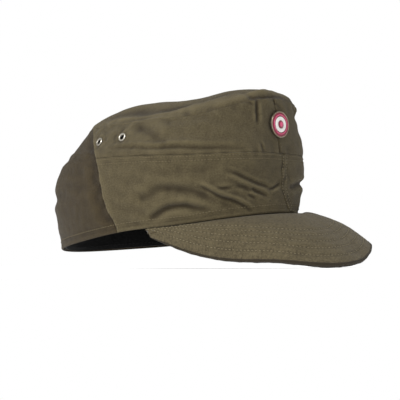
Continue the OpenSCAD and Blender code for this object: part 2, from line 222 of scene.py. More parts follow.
# The relief of the side is worked out once, on a map of bearings and levels
MAP_STEP, MAP_ROWS = 0.5, 321
MAP_BEARINGS = np.arange(-180, 180 + MAP_STEP / 2, MAP_STEP)
MAP_LEVELS = np.linspace(0, TOP_LEVEL, MAP_ROWS)
map_b, map_v = np.meshgrid(MAP_BEARINGS, MAP_LEVELS)
map_points = side_skin(map_b, map_v)
climb = np.linalg.norm(np.diff(map_points, axis=0), axis=-1)
map_height = np.concatenate([np.zeros((1, climb.shape[1])), np.cumsum(climb, 0)])
from_mid = map_height - map_height[MAP_ROWS // 2]
from_top = map_height[-1] - map_height
per_degree = np.linalg.norm(side_skin(map_b + 0.5, map_v) - side_skin(map_b - 0.5, map_v), axis=-1)
from_back_seam = (np.abs(map_b) - back_seam(map_v)) * per_degree

# Each fold is a path of bearings and levels, then its depth, its width, and the height of the
# ridges above and below it
FOLDS = [
    ([(80, 0.95), (77, 1.0), (68, 1.12), (54, 0.97), (47, 0.72), (41, 0.55), (33, 0.32)],
     2.7, 4.2, 1.3, 0.3),
    ([(52, 1.15), (47, 0.98), (41, 0.72), (35, 0.55), (30, 0.32), (27, 0.16)], 1.8, 1.5, 2.0, 0.0),
    ([(76, 0.28), (73, 0.36), (69, 0.5), (65, 0.56), (59, 0.55), (51, 0.4), (46, 0.34)],
     2.8, 3.0, 1.2, 0.6),
    ([(38, 1.48), (33, 1.4), (27, 1.25), (20, 1.08), (15, 1.0), (12, 0.9)], 1.4, 1.6, 0.5, 1.1),
    ([(13, 0.88), (10, 0.92), (7, 1.0), (4, 1.08)], 1.7, 1.2, 0.4, 0.7),
    ([(97, 2.45), (88, 2.4), (79, 2.28), (67, 2.3), (53, 2.22), (39, 2.17), (27, 2.12)],
     2.0, 2.0, 1.1, 0.1),
    ([(95, 3.85), (91, 3.7), (82, 3.2), (75, 2.75), (70, 2.5)], 1.9, 5.0, 0.7, 0.3),
    ([(22, 4.0), (21, 3.7), (20, 3.35), (20, 3.1)], 1.7, 1.5, 0.9, 0.3),
    ([(28, 3.98), (26, 3.9), (24, 3.8)], 0.9, 1.4, 0.5, 0.2),
    ([(8, 3.9), (5, 3.8), (1, 3.66), (-3, 3.5)], 1.2, 1.2, 0.7, 0.4),
    ([(2, 3.5), (-1, 3.44), (-5, 3.38)], 1.0, 1.2, 0.5, 0.4),
    ([(-4, 0.98), (-9, 1.02), (-20, 1.15), (-39, 1.25), (-52, 1.2)], 2.6, 2.6, 0.9, 0.9),
    ([(43, 1.02), (40, 1.0), (35, 1.0)], 1.2, 1.4, 0.8, 0.3),
    ([(27, 0.72), (25, 0.66), (23, 0.58)], 1.2, 1.2, 0.8, 0.3),
    ([(24, 0.95), (22, 0.85), (19, 0.76), (15, 0.62)], 1.5, 1.4, 0.9, 0.5),
    ([(33, 1.06), (28, 0.96), (24, 0.84)], 0.9, 1.7, 0.7, 0.4),
    ([(17, 2.35), (16, 2.2), (15, 2.05)], 0.9, 1.3, 0.4, 0.3),
    ([(66, 1.62), (56, 1.55), (44, 1.6)], 0.8, 3.4, 0.4, 0.2),
    ([(-14, 3.62), (-25, 3.56), (-36, 3.5), (-46, 3.45)], 1.3, 3.4, 1.0, 0.2),
    # the side that faces away is creased in the same places, a little differently
    ([(-84, 1.05), (-72, 1.2), (-60, 1.02), (-47, 0.66), (-36, 0.4)], 1.8, 3.4, 1.0, 0.2),
    ([(-74, 0.4), (-66, 0.58), (-55, 0.5), (-46, 0.34)], 1.6, 2.6, 0.7, 0.3),
    ([(-92, 2.36), (-76, 2.3), (-58, 2.25), (-34, 2.14)], 1.3, 2.4, 0.8, 0.1),
    ([(-96, 3.7), (-84, 3.1), (-73, 2.6)], 1.2, 5.2, 0.4, 0.2),
    ([(-24, 3.98), (-23, 3.66), (-21, 3.4)], 0.8, 1.7, 0.5, 0.2),
    # the back
    ([(128, 1.35), (142, 1.2), (158, 1.28), (174, 1.12)], 1.3, 4.2, 0.7, 0.4),
    ([(-132, 1.0), (-146, 1.14), (-162, 1.02), (-175, 1.1)], 1.2, 4.0, 0.6, 0.4),
    ([(138, 2.6), (156, 2.45), (172, 2.5)], 1.1, 4.4, 0.6, 0.3),
    ([(-136, 2.35), (-150, 2.5), (-168, 2.4)], 1.1, 4.4, 0.6, 0.3),
    ([(150, 0.62), (168, 0.5), (184, 0.56), (200, 0.48)], 1.0, 3.4, 0.5, 0.3),
]


# Broad swells and hollows: bearing, level, height, and half widths in degrees and levels
SWELLS = [(150, 2.2, -2.6, 20, 0.24), (152, 1.5, 2.2, 20, 0.3), (-30, 2.5, 2.6, 20, 0.55),
          (-22, 1.75, 1.2, 14, 0.3), (-32, 0.75, 0.3, 16, 0.35), (60, 3.3, 0.8, 22, 0.35),
          (-150, 2.2, -1.8, 18, 0.3), (20, 1.75, 0.9, 14, 0.3), (86, 1.5, 0.9, 14, 0.5)]


def fold(relief, path, depth, width, above, below):
    """Presses one crease, with its ridges, into the map of the side's relief."""
    knots = np.array(path, float)
    steps = np.linspace(0, len(knots) - 1, 14 * (len(knots) - 1) + 1)
    b, v = smooth_at(knots[:, 0], steps), smooth_at(knots[:, 1], steps)
    line, normal = side_skin(b, v), side_normal(b, v)
    upward = unit(np.cross(np.gradient(line, axis=0), normal))
    upward *= np.where(upward[:, 2:] < 0, -1, 1)
    margin = 2 + 5 * width
    far = wrapped(map_b - b.mean())
    near = (np.abs(far) < np.ptp(b) / 2 + margin / 1.2) & (
        np.abs(map_v - v.mean()) < np.ptp(v) / 2 + margin / 20)
    points = map_points[near]
    gap = np.linalg.norm(points[:, None] - line[None], axis=-1)
    closest = gap.argmin(1)
    distance = gap.min(1)
    way = np.sum((points - line[closest]) * upward[closest], -1)
    signed = np.sign(way) * distance
    fade = np.sin(math.pi * (closest + 0.6) / (len(line) + 0.2)) ** 0.55
    shape = (-depth * bell(signed, width) + above * bell(signed - 1.9 * width, 1.1 * width)
             + below * bell(signed + 2.0 * width, 1.2 * width))
    relief[near] += fade * shape


def make_relief():
    """How far the cloth stands out from the plain shape, over the map."""
    tall = map_points * np.array([1, 1, 1.9])
    relief = 0.5 * waves(tall, 16, 48, 95, 11) + 0.2 * waves(tall, 22, 16, 32, 12)
    relief += 0.07 * waves(map_points, 26, 6, 11, 13)
    for path, depth, width, above, below in FOLDS:
        fold(relief, path, depth, width, above, below)
    # the band stands proud of the crown at their seam, which puckers
    relief += np.where(from_mid < 0, 0.28 * np.exp(from_mid / 9), -0.05 * np.exp(-from_mid / 2.5))
    relief += 0.2 * np.exp(-np.abs(from_mid) / 5) * waves(map_points, 12, 7, 13, 14)
    relief += 0.45 * np.exp(-from_top / 7) * waves(map_points, 12, 8, 18, 15)
    for bearing, level, height, wide, tall_levels in SWELLS:
        apart = wrapped(map_b - bearing)
        relief += height * bell(apart, wide) * bell(map_v - level, tall_levels)
    for row in TOPSTITCH_OFFSETS:
        relief -= 0.1 * bell(from_mid - row, 0.7)
    # the side panel's edge is proud, and the back panel dips behind it
    along_side = step(0.1, 0.5, map_v) * (1 - 0.5 * step(3.4, 4, map_v))
    ahead = 0.35 * bell(np.minimum(from_back_seam, 0), 4.5)
    behind = -0.8 * bell(from_back_seam - 4, 5) + 0.3 * bell(from_back_seam - 13, 5)
    relief += along_side * np.where(from_back_seam < 0, ahead, behind)
    relief -= 0.35 * bell(from_back_seam, 0.8)
    relief += 0.15 * np.exp(-np.abs(from_back_seam) / 5) * waves(map_points, 12, 8, 14, 16)
    # the crown's centre front seam
    beside = np.abs(map_b - front_seam(map_v)) * per_degree
    front = (np.abs(map_b) < 40) & (map_v > MID_LEVEL)
    relief += np.where(front, 0.35 * bell(beside - 2.6, 1.8) - 0.55 * bell(beside, 0.8), 0)
    # the cockade is pinned flat, with a shallow dent round it, and each eyelet is pressed in
    pin = side_skin(np.array([COCKADE_BEARING]), COCKADE_LEVEL)[0]
    from_pin = np.linalg.norm(map_points - pin, axis=-1)
    relief *= step(9, 22, from_pin)
    relief -= 0.5 * bell(from_pin - 9, 3)
    for side in (1, -1):
        for bearing, level in VENTS:
            hole = side_skin(np.array([float(side * bearing)]), level)[0]
            from_hole = np.linalg.norm(map_points - hole, axis=-1)
            relief *= step(2, 9, from_hole)
            relief += math.tan(math.radians(VENT_TILT)) * (map_points - hole)[..., 2] * bell(
                from_hole, 6.5)
            relief -= 0.4 * bell(from_hole - 3.4, 1.6)
            relief += 0.25 * bell(from_hole - 7, 2.5) * waves(map_points, 10, 5, 9, 17)
    # the hem is turned up and stitched
    relief *= step(-1.5, 5, map_height)
    relief += 0.4 * bell(map_height - 1.7, 1.4) - 0.2 * bell(map_height - 3.4, 0.7)
    return relief


def blur(values, times):
    for _ in range(times):
        wide = np.pad(values, 1, mode="edge")
        values = (wide[:-2, 1:-1] + wide[2:, 1:-1] + wide[1:-1, :-2] + wide[1:-1, 2:]
                  + 2 * values) / 6
    return values


map_relief = make_relief()
# painted shade: the cloth darkens where the relief dips into a crease, and lightens on its ridges as
# wear
map_shade_and_wear = np.clip(1.6 * (map_relief - blur(map_relief, 60)), -1, 1)


def from_map(values, bearing, level):
    """Values of the map at any bearings and levels."""
    column = ((bearing + 180) % 360) / MAP_STEP
    row = np.clip(level, 0, TOP_LEVEL) / TOP_LEVEL * (MAP_ROWS - 1)
    j = np.minimum(column.astype(int), len(MAP_BEARINGS) - 2)
    i = np.minimum(row.astype(int), MAP_ROWS - 2)
    s, t = column - j, row - i
    return ((1 - t) * ((1 - s) * values[i, j] + s * values[i, j + 1])
            + t * ((1 - s) * values[i + 1, j] + s * values[i + 1, j + 1]))


def side_cloth(bearing, level, depth=0.0):
    """Points of the side with its folds, moved out by depth, and the way out."""
    bearing, level = np.broadcast_arrays(np.asarray(bearing, float), np.asarray(level, float))
    normal = side_normal(bearing, level)
    out = depth + from_map(map_relief, bearing, level)
    return side_skin(bearing, level) + out[..., None] * normal, normal


# ---- How the top folds ----
DOME_FOLDS = [
    # bearing, half width in degrees, distance from the seam, half width there, height
    (12, 11, 9.0, 3.0, 3.0), (12, 12, 3.2, 2.4, -3.4), (31, 6, 6, 6, 0.9), (62, 22, 11, 6, 0.8),
    (84, 24, 5, 3.2, -0.8), (-50, 25, 10, 7, 0.8), (-20, 12, 5, 4, -0.6), (0, 34, 17, 11, 2.0),
    (98, 26, 20, 12, -3.6), (152, 24, 12, 10, 0.6), (-25, 22, 6, 6, 2.4), (75, 18, 19, 5, -0.7),
    (100, 16, 8, 3, 0.7),
    (-110, 30, 20, 12, -1.2), (-80, 16, 6, 3, -0.7), (180, 26, 30, 8, -0.8), (40, 12, 20, 4, -0.6),
]


def dome_relief(bearing, share, points):
    tall = points * np.array([1, 1, 1.5])
    relief = 0.5 * waves(tall, 14, 50, 95, 21) + 0.22 * waves(tall, 20, 16, 34, 22)
    relief += 0.05 * waves(points, 24, 6, 11, 23)
    bearing = wrapped(bearing)
    rim = dome_skin(bearing, np.ones_like(share))
    from_rim = np.linalg.norm(points - rim, axis=-1)
    relief += 0.45 * np.exp(-from_rim / 7) * waves(rim, 14, 7, 16, 24)
    relief += 0.5 * bell(from_rim - 5, 4)
    for middle, wide, inward, deep, height in DOME_FOLDS:
        apart = wrapped(bearing - middle)
        relief += height * bell(apart, wide) * bell(from_rim - inward, deep)
    # a crease runs up from the seam beside the pocket
    relief -= 0.9 * bell(bearing - 23 - 0.3 * from_rim, 2.2) * bell(from_rim - 3, 9)
    return relief * step(-2, 4, from_rim), from_rim


# ---- Meshes ----
def add_mesh(name, points, faces, uv=None, shade_and_wear=None, smooth=60):
    """A mesh object from points in millimetres, with its faces turned outwards."""
    points = np.asarray(points, float).reshape(-1, 3)
    faces = [list(map(int, f)) for f in faces]
    first = np.array([[f[0], f[1], f[2]] for f in faces])
    last = np.array([[f[0], f[-2], f[-1]] for f in faces if len(f) > 3]).reshape(-1, 3)
    centred = points - points.mean(0)
    volume = sum(np.einsum("ij,ij->", centred[t[:, 0]], np.cross(centred[t[:, 1]], centred[t[:, 2]]))
                 for t in (first, last) if len(t))
    if volume < 0:
        faces = [f[::-1] for f in faces]
    mesh = bpy.data.meshes.new(name)
    mesh.from_pydata((points * MM).tolist(), [], faces)
    if uv is not None:
        corners = np.zeros(len(mesh.loops), int)
        mesh.loops.foreach_get("vertex_index", corners)
        layer = mesh.uv_layers.new(name="cloth")
        layer.data.foreach_set("uv", np.asarray(uv, np.float32).reshape(-1, 2)[corners].ravel())
    # this attribute carries painted shade in the creases and lighter wear on the ridges
    if shade_and_wear is not None:
        shade = mesh.attributes.new("shade_and_wear", "FLOAT", "POINT")
        shade.data.foreach_set("value", np.asarray(shade_and_wear, np.float32).ravel())
    mesh.shade_smooth()
    mesh.set_sharp_from_angle(angle=math.radians(smooth))
    piece = bpy.data.objects.new(name, mesh)
    bpy.context.scene.collection.objects.link(piece)
    return piece


def quads(rows, columns, start=0, wrap=False, turned=False):
    i, j = np.meshgrid(np.arange(rows - 1), np.arange(columns - (not wrap)), indexing="ij")
    a = start + i * columns + j
    b = start + i * columns + (j + 1) % columns
    faces = np.stack([a, b, b + columns, a + columns], -1).reshape(-1, 4)
    return faces[:, ::-1] if turned else faces


def sheet(name, outer, inner, uv, shade_and_wear):
    """A thick sheet from its outer and inner grids of points."""
    rows, columns = outer.shape[:2]
    size = rows * columns
    index = np.arange(size).reshape(rows, columns)
    loop = np.concatenate([index[0, :-1], index[:-1, -1], index[-1, :0:-1], index[:0:-1, 0]])
    after = np.roll(loop, -1)
    rim = np.stack([after, loop, loop + size, after + size], -1)
    faces = np.concatenate([quads(rows, columns), quads(rows, columns, size, turned=True), rim])
    return add_mesh(name, np.concatenate([outer.reshape(-1, 3), inner.reshape(-1, 3)]), faces,
                    np.concatenate([uv.reshape(-1, 2)] * 2), np.concatenate([shade_and_wear.ravel()] * 2))


def spaced(length, pitch, radius=1.2):
    """Shares from 0 to 1 about a pitch apart, closer near both ends."""
    close = np.array([0, 0.25, 0.5, 0.75, 1]) * radius / length
    inside = np.linspace(radius, length - radius, max(3, int(length / pitch)))[1:-1] / length
    return np.concatenate([close, inside, 1 - close[::-1]])


def rolled(distance, radius=1.2, drop=0.75):
    """How far a sheet's face drops towards its edge, by distance from it."""
    t = 1 - np.clip(distance / radius, 0, 1)
    return -drop * (1 - np.sqrt(1 - t * t))


def lengths(points, axis):
    walk = np.linalg.norm(np.diff(points, axis=axis), axis=-1)
    start = np.zeros_like(np.take(walk, [0], axis))
    return np.concatenate([start, np.cumsum(walk, axis)], axis)


def edge_gap(points):
    """Distance of each grid point from the nearest edge of its grid."""
    down, across = lengths(points, 0), lengths(points, 1)
    return np.minimum(np.minimum(down, down[-1:] - down), np.minimum(across, across[:, -1:] - across))


def upright(bearing):
    """An upright edge, as a function of the level."""
    return lambda level: bearing + 0 * level


def side_sheet(name, low, high, start_at, end_at, depth=0.0, thickness=CLOTH, pitch=1.2,
               drop=0.25):
    """A piece of the side between two levels and two edges, each a bearing for every level."""
    start, end = start_at((low + high) / 2), end_at((low + high) / 2)
    middle = (start + end) / 2
    height = lengths(side_skin(np.full(60, middle), np.linspace(low, high, 60)), 0)[-1]
    width = lengths(side_skin(np.linspace(start, end, 200), np.full(200, (low + high) / 2)), 0)[-1]
    level = mix(low, high, spaced(height, pitch))[:, None]
    bearing = mix(start_at(level), end_at(level), spaced(width, pitch)[None, :])
    level = level * np.ones_like(bearing)
    plain, normal = side_cloth(bearing, level, depth)
    outer = plain + rolled(edge_gap(plain), drop=drop)[..., None] * normal
    inner = plain - thickness * normal
    uv = np.stack([bearing * 1.53, from_map(map_height, bearing, level)], -1)
    return sheet(name, outer, inner, uv, from_map(map_shade_and_wear, bearing, level))


DOME_ROUND, DOME_ACROSS = 500, 85


def dome(name, rim_share, depth=0.0, thickness=CLOTH, pitch=1.3, drop=0.35):
    """The stuffed top as one thick sheet, closed at its middle by a fan of faces."""
    columns = int(DOME_ROUND / pitch)
    share = rim_share * (1 - spaced(DOME_ACROSS, pitch))[:, None]
    share = share[share[:, 0] > 0.012]
    rows = len(share)
    bearing = np.linspace(0, 360, columns, endpoint=False)[None, :] * np.ones((rows, 1))
    share = share * np.ones_like(bearing)
    skin, normal = dome_skin(bearing, share), dome_normal(bearing, share)
    relief, from_rim = dome_relief(bearing, share, skin)
    # near its rim the top follows the crown's own top edge
    seam_level = np.full_like(bearing, TOP_LEVEL)
    side, side_out = side_cloth(bearing, seam_level, depth)
    shared = bell(from_rim, 2.5)[..., None]
    at_seam = side - side_skin(bearing, seam_level)
    plain = skin + mix((depth + relief)[..., None] * normal, at_seam, shared)
    normal = unit(mix(normal, side_out, 0.6 * shared))
    outer = plain + rolled(lengths(plain, 0), drop=drop)[..., None] * normal
    inner = plain - thickness * normal
    radius = lengths(skin[::-1], 0)[::-1]
    turn = np.radians(bearing)
    uv = np.stack([-radius * np.sin(turn), -radius * np.cos(turn)], -1).reshape(-1, 2)
    # painted shade in the top's creases, and lighter wear on its ridges
    shade_and_wear = np.clip(1.2 * (relief - blur(relief, 60)), -1, 1)
    size = rows * columns
    tips = np.array([outer[-1].mean(0), inner[-1].mean(0)])
    around = np.arange(columns)
    ahead = (around + 1) % columns
    last = list(zip((rows - 1) * columns + around, (rows - 1) * columns + ahead))
    caps = [(a, b, 2 * size) for a, b in last]
    caps += [(b + size, a + size, 2 * size + 1) for a, b in last]
    rim = np.stack([ahead, around, around + size, ahead + size], -1)
    faces = [*quads(rows, columns, wrap=True), *quads(rows, columns, size, True, True), *rim, *caps]
    points = np.concatenate([outer.reshape(-1, 3), inner.reshape(-1, 3), tips])
    return add_mesh(name, points, faces, np.concatenate([uv, uv, np.zeros((2, 2))]),
                    np.concatenate([shade_and_wear.ravel(), shade_and_wear.ravel(), [0, 0]]))


# ---- The visor's cloth ----
ROW_PITCH, ROW_COUNT = 7.0, 5


def visor_sag(along, out):
    """How far the visor sits above its plain shape: low at its right end, high on its left."""
    lift = -2.5 * bell(along - 0.88, 0.13) * out + 3.7 * bell(along + 0.25, 0.22) * out ** 2
    lift += 1.0 * bell(along - 0.35, 0.45) * out ** 2 - 0.5 * bell(out, 0.06)
    return lift + 3.4 * bell(along + 0.47, 0.25) * bell(out - 0.14, 0.15) * step(0, 0.12, out)


def visor_cloth(along, out, depth=0.0, quilt=1.0):
    """Points of the visor with its sewn rows, moved up by depth, and the way up."""
    skin, normal = visor_skin(along, out), visor_normal(along, out)
    skin[..., 2] += visor_sag(along, out)
    reach = np.linalg.norm(visor_skin(along, 1.0) - visor_skin(along, 0.0), axis=-1)
    inward = (1 - out) * reach
    row = inward / ROW_PITCH
    off_row = np.abs(row - np.round(row)) * ROW_PITCH
    sewn = (np.round(row) >= 1) & (np.round(row) <= ROW_COUNT)
    relief = np.where(sewn, -0.28 * bell(off_row, 1.2), 0) + 0.06 * waves(skin, 14, 9, 22, 31)
    relief += 0.2 * waves(skin, 12, 40, 90, 32) + 0.02 * waves(skin, 24, 4, 8, 33)
    relief = quilt * relief * step(0, 5, inward) * step(0, 4, out * reach)
    return skin + (depth + relief)[..., None] * normal, normal, relief


def visor_sheet(name, depth, thickness, start=0.0, end=1.0, pitch=0.9, quilt=1.0):
    along = mix(-VISOR_END, VISOR_END, spaced(215, pitch))[:, None]
    out = mix(start, end, spaced(70, pitch))[None, :]
    along, out = np.broadcast_arrays(along, out)
    plain, normal, relief = visor_cloth(along, out, depth, quilt)
    outer = plain + rolled(edge_gap(plain), drop=0.6)[..., None] * normal
    inner = plain - thickness * normal
    # painted shade along the sewn rows and in the hollows, and lighter wear on the swells
    shade_and_wear = np.clip(1.5 * (relief - blur(relief, 30)), -1, 1)
    return sheet(name, outer, inner, plain[..., :2].copy(), shade_and_wear)


def bar(name, centres, across, up, half_width, half_height, squareness=2.6, sides=14):
    """A rounded bar along a line of centres, closed at both ends."""
    turn = np.linspace(0, 2 * math.pi, sides, endpoint=False)
    x = signed_power(np.cos(turn), 2 / squareness)[None, :, None]
    y = signed_power(np.sin(turn), 2 / squareness)[None, :, None]
    rings = (centres[:, None] + across[:, None] * x * np.reshape(half_width, (-1, 1, 1))
             + up[:, None] * y * np.reshape(half_height, (-1, 1, 1)))
    count = len(centres)
    faces = [*quads(count, sides, wrap=True), tuple(range(sides)),
             tuple(range(count * sides - 1, (count - 1) * sides - 1, -1))]
    walk = lengths(centres, 0)
    uv = np.stack([walk[:, None] * np.ones(sides), turn[None] * 1.2 * np.ones((count, 1))], -1)
    return add_mesh(name, rings, faces, uv, np.zeros(count * sides))


# ---- Stitches ----
MM_PER_DEGREE, FRONT_MM_PER_DEGREE = 1.55, 1.65


def along_row(walk, values, places):
    return np.stack([np.interp(places, walk, values[:, k]) for k in range(3)], -1)


def stitches(name, rows, pitch=2.9, length=2.1, width=0.5, height=0.42, lift=0.16, seed=1):
    """Short bent stitches along rows, each of which is a line of points with the way out."""
    r = np.random.default_rng(seed)
    starts, ends, outs = [], [], []
    for line, normal in rows:
        walk = lengths(line, 0)
        count = int(walk[-1] / pitch)
        at = (np.arange(count) + 0.5) * walk[-1] / count
        jitter = r.uniform(-0.12, 0.12, count)
        starts.append(along_row(walk, line, at - length / 2 + jitter))
        ends.append(along_row(walk, line, at + length / 2 + jitter))
        outs.append(unit(along_row(walk, normal, at)))
    start, end, out = map(np.concatenate, (starts, ends, outs))
    way = unit(end - start)
    across = unit(np.cross(out, way))
    t = np.array([-1, -0.8, -0.4, 0, 0.4, 0.8, 1])
    thick = np.sqrt(np.clip(1.08 - t * t, 0.1, 1))
    turn = np.linspace(0, 2 * math.pi, 6, endpoint=False)
    middle = (start + end) / 2
    half = np.linalg.norm(end - start, axis=-1) / 2
    line = (middle[:, None] + way[:, None] * (t[None, :, None] * half[:, None, None])
            + out[:, None] * (lift - 0.3 * t ** 4)[None, :, None])
    sideways = thick[:, None] * np.cos(turn) * width / 2
    upward = thick[:, None] * np.sin(turn) * height / 2
    points = (line[:, :, None] + across[:, None, None] * sideways[..., None]
              + out[:, None, None] * upward[..., None]).reshape(-1, 3)
    per = len(t) * 6
    one = [*quads(len(t), 6, wrap=True).tolist(), list(range(6)), list(range(per - 1, per - 7, -1))]
    faces = [[k + i * per for k in face] for i in range(len(start)) for face in one]
    uv = np.tile(np.stack(np.meshgrid(t * length / 2, turn * 0.25, indexing="ij"), -1)
                 .reshape(-1, 2), (len(start), 1))
    return add_mesh(name, points, faces, uv, np.zeros(len(points)))


def side_row(start, end, level_at, lift):
    """A row of stitches round the side; level_at gives its level from its bearings."""
    bearing = np.linspace(start, end, int(abs(end - start) * 3) + 2)
    return side_cloth(bearing, level_at(bearing), lift)


def level_off(start_level, offset):
    """Levels that stay an offset in millimetres above a level line."""
    def at(bearing):
        climbed = side_skin(bearing, start_level + 0.02) - side_skin(bearing, start_level - 0.02)
        scale = np.linalg.norm(climbed, axis=-1) / 0.04
        return start_level + offset / scale
    return at


def upward_row(bearing_of, low, high, lift, count):
    """A row that runs up the side; bearing_of gives its bearing from its levels."""
    level = np.linspace(low, high, count)
    return side_cloth(bearing_of(level), level, lift)


def visor_row(k):
    along = np.linspace(-VISOR_END, VISOR_END, 400)
    reach = np.linalg.norm(visor_skin(along, 1.0) - visor_skin(along, 0.0), axis=-1)
    out = 1 - ROW_PITCH * k / reach
    keep = out > 0.05
    line, normal, _ = visor_cloth(along[keep], out[keep], 0.05)
    return line, normal


# ---- Turned pieces ----
def placed(bearing, level, depth, turn=0.0, tilt=0.0):
    """The frame of a piece on the side, with its +Z pointing out."""
    point = side_skin(np.array([float(bearing)]), level)[0]
    n = side_normal(np.array([float(bearing)]), level)[0]
    spin = math.atan2(n[1], n[0]) - math.radians(turn)
    facing = Matrix.Rotation(spin, 4, "Z") @ Matrix.Rotation(
        math.acos(n[2]) + math.radians(tilt), 4, "Y")
    return Matrix.Translation(Vector(point + depth * n)) @ facing


def revolve(outline, segments):
    """Points and faces of a closed outline of radii and heights, turned round Z."""
    outline = np.array(outline, float)
    solid = outline[0][0] == 0 and outline[-1][0] == 0
    body = outline[1:-1] if solid else outline
    turn = np.linspace(0, 2 * math.pi, segments, endpoint=False)
    points = np.stack([body[:, 0, None] * np.cos(turn), body[:, 0, None] * np.sin(turn),
                       body[:, 1, None] * np.ones(segments)], -1).reshape(-1, 3)
    low = np.arange(segments)
    top = (len(body) - 1) * segments + low
    next_low, next_top = np.roll(low, -1), np.roll(top, -1)
    faces = quads(len(body), segments, wrap=True).tolist()
    if not solid:
        return points, faces + np.stack([top, next_top, next_low, low], -1).tolist()
    tip = np.full(segments, len(points))
    faces += np.stack([next_low, low, tip], -1).tolist()
    faces += np.stack([top, next_top, tip + 1], -1).tolist()
    return np.concatenate([points, [[0, 0, outline[0][1]], [0, 0, outline[-1][1]]]]), faces


def turned(name, outline, places, segments=64):
    """One mesh of a turned outline, set down once at every place."""
    local, faces = revolve(outline, segments)
    every, all_faces = [], []
    for k, place in enumerate(places):
        m = np.array(place)
        every.append(local @ m[:3, :3].T + m[:3, 3])
        all_faces += [[corner + k * len(local) for corner in face] for face in faces]
    points = np.concatenate(every)
    return add_mesh(name, points, all_faces, points[:, :2], np.zeros(len(points)), smooth=38)


def ring_outline(inner, outer, base, top, corner, crown=0.0, count=7):
    """A ring's section with round top corners and a crowned top."""
    bend = np.linspace(0, math.pi / 2, count)
    left = [(inner + corner * (1 - math.cos(a)), top - corner * (1 - math.sin(a))) for a in bend]
    right = [(outer - corner * (1 - math.sin(a)), top - corner * (1 - math.cos(a))) for a in bend]
    middle, half = (inner + outer) / 2, (outer - inner) / 2
    across = [(r, top) for r in np.linspace(inner + corner, outer - corner, 9)[1:-1]]
    raised = [(r, z + crown * (1 - ((r - middle) / half) ** 2)) for r, z in left + across + right]
    return [(inner, base)] + raised + [(outer, base)]


# ---- Materials ----
def srgb(r, g, b):
    def linear(v):
        v /= 255
        return v / 12.92 if v <= 0.04045 else ((v + 0.055) / 1.055) ** 2.4
    return (linear(r), linear(g), linear(b), 1.0)


class Nodes:
    """Adds shader nodes to one material and links them."""

    def __init__(self, name):
        self.material = bpy.data.materials.new(name)
        self.material.use_nodes = True
        self.tree = self.material.node_tree
        self.shader = self.tree.nodes["Principled BSDF"]

    def add(self, kind, inputs=(), **values):
        node = self.tree.nodes.new("ShaderNode" + kind)
        for key, value in values.items():
            setattr(node, key, value)
        for key, value in dict(inputs).items():
            if isinstance(value, bpy.types.NodeSocket):
                self.tree.links.new(value, node.inputs[key])
            else:
                node.inputs[key].default_value = value
        return node

    def math(self, operation, a, b=0.0, c=0.0):
        return self.add("Math", {0: a, 1: b, 2: c}, operation=operation).outputs[0]

    def noise(self, vector, scale, detail=2.0, roughness=0.5):
        node = self.add("TexNoise", {"Vector": vector, "Scale": scale, "Detail": detail,
                                     "Roughness": roughness})
        return node.outputs["Fac"]

    def ramp(self, value, low, high, to_low=0.0, to_high=1.0):
        return self.add("MapRange", {"Value": value, "From Min": low, "From Max": high,
                                     "To Min": to_low, "To Max": to_high}).outputs[0]

    def mix(self, share, a, b, kind="MIX"):
        node = self.add("Mix", {0: share, 6: a, 7: b}, data_type="RGBA", blend_type=kind)
        return node.outputs[2]

    def set(self, **values):
        for key, value in values.items():
            socket = self.shader.inputs[key.replace("_", " ")]
            if isinstance(value, bpy.types.NodeSocket):
                self.tree.links.new(value, socket)
            else:
                socket.default_value = value

    def bump(self, height, distance, strength=1.0):
        node = self.add("Bump", {"Height": height, "Distance": distance, "Strength": strength})
        self.tree.links.new(node.outputs["Normal"], self.shader.inputs["Normal"])


def twill(name, colour, dark, light, rib=0.62, depth=0.00016, sheen=0.08, speckle=0.62,
          grain=820):
    """Twill cloth: slanting ribs, uneven yarns, faded patches, worn ridges and painted shade in its
    grooves.
    """
    n = Nodes(name)
    place = n.add("TexCoord").outputs["Object"]
    cloth = n.add("UVMap", uv_map="cloth").outputs[0]
    weave = n.add("SeparateXYZ", {0: cloth})
    u, v = weave.outputs[0], weave.outputs[1]
    wander = n.math("MULTIPLY", n.noise(place, 420, 1.0), 2.2)
    slant = n.math("MULTIPLY", n.math("ADD", u, n.math("MULTIPLY", v, 1.35)),
                   2 * math.pi / (rib * 1.68))
    ribs = n.ramp(n.math("SINE", n.math("ADD", slant, wander)), -1, 1)
    yarn = n.ramp(n.math("SINE", n.math("MULTIPLY", v, 2 * math.pi / 0.42)), -1, 1)
    flecks = n.ramp(n.noise(place, grain, 3.0, 0.6), 0.32, 0.68)
    drawn_out = n.add("Mapping", {0: cloth, "Scale": (0.16, 1.5, 1)}).outputs[0]
    slubs = n.ramp(n.noise(drawn_out, 1.0, 2.0), 0.35, 0.7)
    patches = n.ramp(n.noise(place, 26, 3.0), 0.3, 0.7)
    shade_and_wear = n.add("Attribute", attribute_name="shade_and_wear").outputs["Fac"]
    base = n.mix(n.math("MULTIPLY", patches, 0.2), srgb(*colour), srgb(*light))
    base = n.mix(n.math("MULTIPLY", ribs, 0.25), base, srgb(*light))
    base = n.mix(n.math("MULTIPLY", flecks, speckle), base, srgb(*dark))
    base = n.mix(n.math("MULTIPLY", slubs, 0.22), base, srgb(*light))
    # painted shade: darker where the relief dips into creases and sewn grooves
    base = n.mix(n.ramp(shade_and_wear, 0.0, -0.9, 0.0, 0.85), base, srgb(*dark))
    # lighter on the ridges, as wear
    base = n.mix(n.ramp(shade_and_wear, 0.05, 0.9, 0.0, 0.6), base, srgb(*light))
    height = n.math("ADD", n.math("ADD", ribs, n.math("MULTIPLY", yarn, 0.35)),
                    n.math("ADD", flecks, n.math("MULTIPLY", slubs, 0.5)))
    n.bump(height, depth)
    n.set(Base_Color=base, Roughness=n.ramp(flecks, 0, 1, 0.82, 0.95), Specular_IOR_Level=0.15,
          Sheen_Weight=sheen, Sheen_Roughness=0.55)
    return n.material


